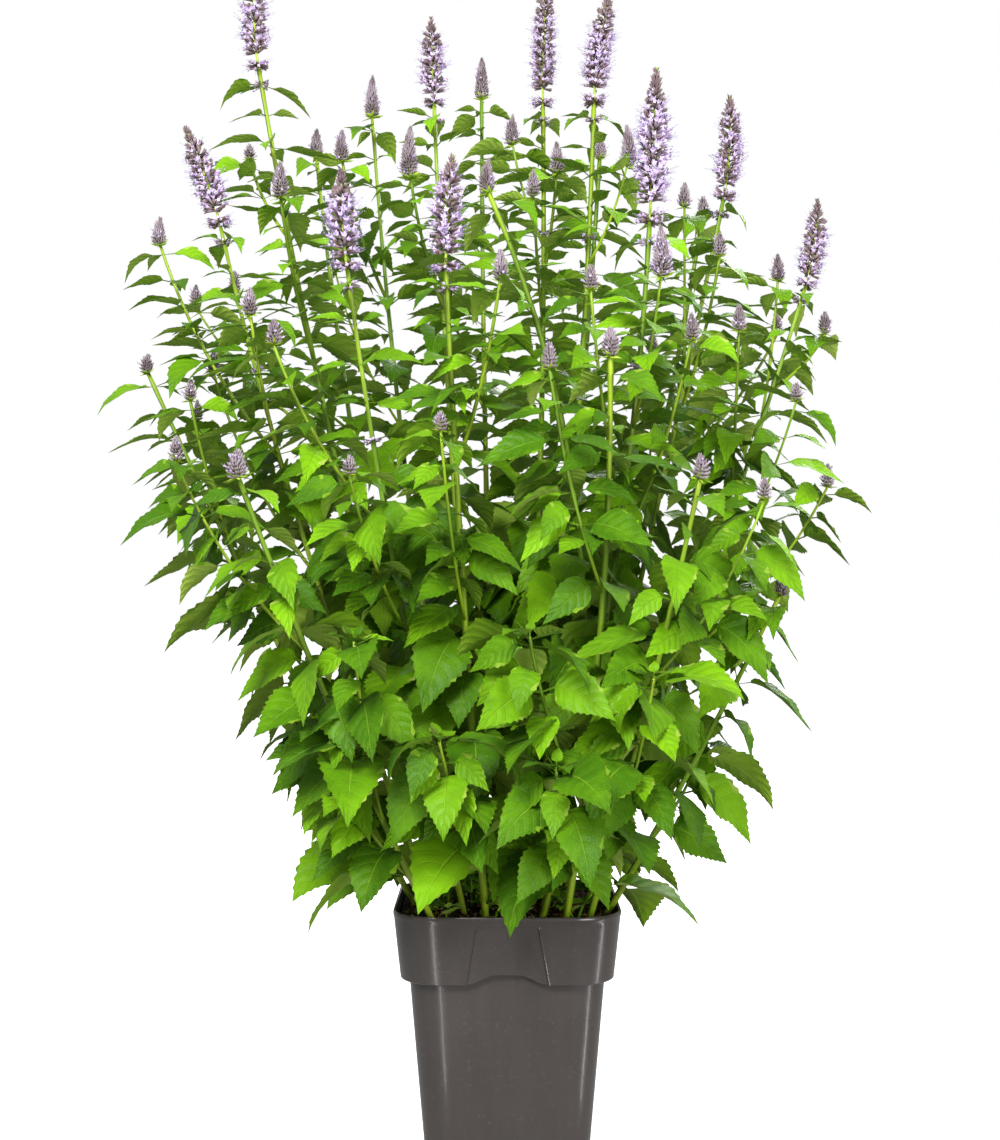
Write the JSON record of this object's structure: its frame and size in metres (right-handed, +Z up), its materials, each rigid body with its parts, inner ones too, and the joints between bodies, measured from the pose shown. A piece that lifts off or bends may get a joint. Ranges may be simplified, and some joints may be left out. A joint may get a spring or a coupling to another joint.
{
  "type": "potted blue fortune agastache",
  "caption": "Tall bushy perennial with toothed leaves and violet flower spikes, standing in a tapered square nursery pot.",
  "frame": {"origin": "centre of the pot's flat base, where it rests", "axes": "+Z up along the plant, -Y towards the picture's camera, +X to the camera's right"},
  "size_m": [0.6651, 0.6054, 1.0671],
  "materials": {
    "pot_plastic": "moulded warm grey plastic with a soft sheen",
    "potting_soil": "crumbly dark peat with bark chips",
    "foliage": "matt green leaves and stems with paler undersides",
    "flower_spikes": "pale violet florets over dark calyces",
    "bud_spikes": "closed grey-violet calyces"
  },
  "bodies": {
    "root": {"bud_spike_01": "bud_spikes", "bud_spike_02": "bud_spikes", "bud_spike_03": "bud_spikes", "bud_spike_04": "bud_spikes", "bud_spike_05": "bud_spikes", "bud_spike_06": "bud_spikes", "bud_spike_07": "bud_spikes", "bud_spike_08": "bud_spikes", "bud_spike_09": "bud_spikes", "bud_spike_10": "bud_spikes", "bud_spike_11": "bud_spikes", "bud_spike_12": "bud_spikes", "bud_spike_13": "bud_spikes", "bud_spike_14": "bud_spikes", "bud_spike_15": "bud_spikes", "bud_spike_16": "bud_spikes", "bud_spike_17": "bud_spikes", "bud_spike_18": "bud_spikes", "bud_spike_19": "bud_spikes", "bud_spike_20": "bud_spikes", "bud_spike_21": "bud_spikes", "bud_spike_22": "bud_spikes", "bud_spike_23": "bud_spikes", "bud_spike_24": "bud_spikes", "bud_spike_25": "bud_spikes", "bud_spike_26": "bud_spikes", "flower_spike_01": "flower_spikes", "flower_spike_02": "flower_spikes", "flower_spike_03": "flower_spikes", "flower_spike_04": "flower_spikes", "flower_spike_05": "flower_spikes", "flower_spike_06": "flower_spikes", "flower_spike_07": "flower_spikes", "flower_spike_08": "flower_spikes", "flower_spike_09": "flower_spikes", "flower_spike_10": "flower_spikes", "leafy_stem_01": "foliage", "leafy_stem_02": "foliage", "leafy_stem_03": "foliage", "leafy_stem_04": "foliage", "leafy_stem_05": "foliage", "leafy_stem_06": "foliage", "leafy_stem_07": "foliage", "leafy_stem_08": "foliage", "leafy_stem_09": "foliage", "leafy_stem_10": "foliage", "leafy_stem_11": "foliage", "leafy_stem_12": "foliage", "leafy_stem_13": "foliage", "leafy_stem_14": "foliage", "leafy_stem_15": "foliage", "leafy_stem_16": "foliage", "leafy_stem_17": "foliage", "leafy_stem_18": "foliage", "leafy_stem_19": "foliage", "leafy_stem_20": "foliage", "leafy_stem_21": "foliage", "pot": "pot_plastic", "soil": "potting_soil"}
  },
  "joints": []
}
